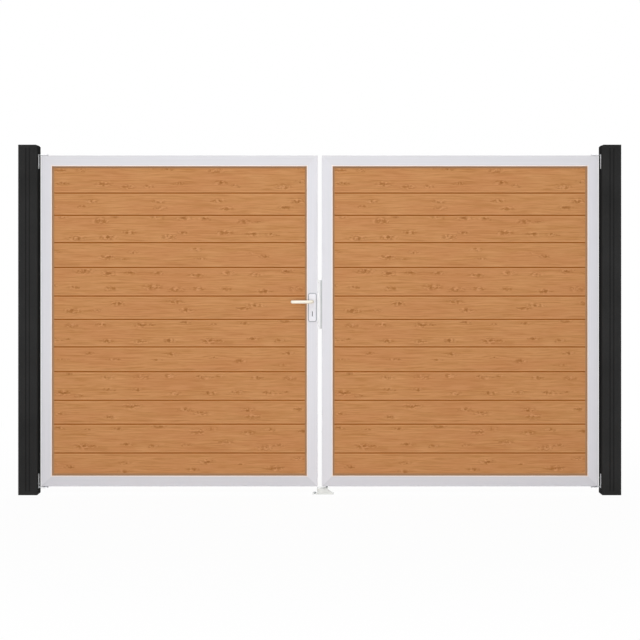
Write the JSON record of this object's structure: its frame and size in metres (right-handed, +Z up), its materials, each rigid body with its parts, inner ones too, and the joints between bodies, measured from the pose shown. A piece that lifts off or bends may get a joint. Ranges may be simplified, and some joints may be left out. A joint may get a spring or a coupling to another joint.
{
  "type": "double gate",
  "caption": "Double driveway gate: two timber-look leaves in white metal frames, swinging between two dark square posts, with a lever lock, a drop bolt and a ground stop.",
  "frame": {"origin": "centre of the left post's foot face, on the ground", "axes": "+X along the gate towards the right post, +Y to the back of the gate, +Z up"},
  "size_m": [3.27, 0.162, 1.9],
  "materials": {
    "post_metal": "anthracite powder coat, satin",
    "frame_metal": "light silver-white powder coat, satin",
    "boards": "honey-brown timber look, fine grain",
    "hinge_steel": "galvanised, matt",
    "lock_steel": "brushed",
    "handle_metal": "near-white powder coat, satin",
    "keeper_metal": "light powder coat, satin",
    "bush_plastic": "light grey moulded nylon",
    "guide_plastic": "black moulded nylon",
    "bolt_steel": "black coated steel",
    "stop_metal": "light grey coated casting"
  },
  "bodies": {
    "gate_root": {"left_post": "post_metal", "left_post_cap": "post_metal", "left_post_foot": "post_metal", "right_post": "post_metal", "right_post_cap": "post_metal", "right_post_foot": "post_metal", "left_upper_hinge": "hinge_steel", "left_lower_hinge": "hinge_steel", "right_upper_hinge": "hinge_steel", "right_lower_hinge": "hinge_steel", "ground_stop": "stop_metal"},
    "left_leaf": {"left_hinge_stile": "frame_metal", "lock_stile": "frame_metal", "left_top_rail": "frame_metal", "left_bottom_rail": "frame_metal", "left_infill": "boards", "left_upper_bush": "bush_plastic", "left_lower_bush": "bush_plastic", "lock_case": "lock_steel", "latch_bolt": "lock_steel", "dead_bolt": "lock_steel", "front_escutcheon": "handle_metal", "rear_escutcheon": "handle_metal"},
    "handle": {"front_lever": "handle_metal", "rear_lever": "handle_metal", "lever_spindle": "lock_steel"},
    "right_leaf": {"right_hinge_stile": "frame_metal", "meeting_stile": "frame_metal", "right_top_rail": "frame_metal", "right_bottom_rail": "frame_metal", "right_infill": "boards", "right_upper_bush": "bush_plastic", "right_lower_bush": "bush_plastic", "lock_keeper": "keeper_metal", "drop_bolt_plate": "lock_steel", "drop_bolt_guide": "guide_plastic"},
    "drop_bolt_body": {"drop_bolt": "bolt_steel"}
  },
  "joints": [
    {"name": "left_leaf_swing", "type": "hinge", "parent": "gate_root", "child": "left_leaf", "pos_m": [0.092, 0, 0.943], "axis": [0, 0, 1], "range_deg": [0, 90]},
    {"name": "right_leaf_swing", "type": "hinge", "parent": "gate_root", "child": "right_leaf", "pos_m": [3.074, 0, 0.943], "axis": [0, 0, -1], "range_deg": [0, 90]},
    {"name": "handle_turn", "type": "hinge", "parent": "left_leaf", "child": "handle", "pos_m": [1.543, 0, 1.048], "axis": [0, -1, 0], "range_deg": [0, 40], "stiffness_Nm_per_rad": 1.5, "springref_deg": -22.92},
    {"name": "drop_bolt_slide", "type": "slide", "parent": "right_leaf", "child": "drop_bolt_body", "axis": [0, 0, -1], "range_m": [0, 0.03]}
  ]
}
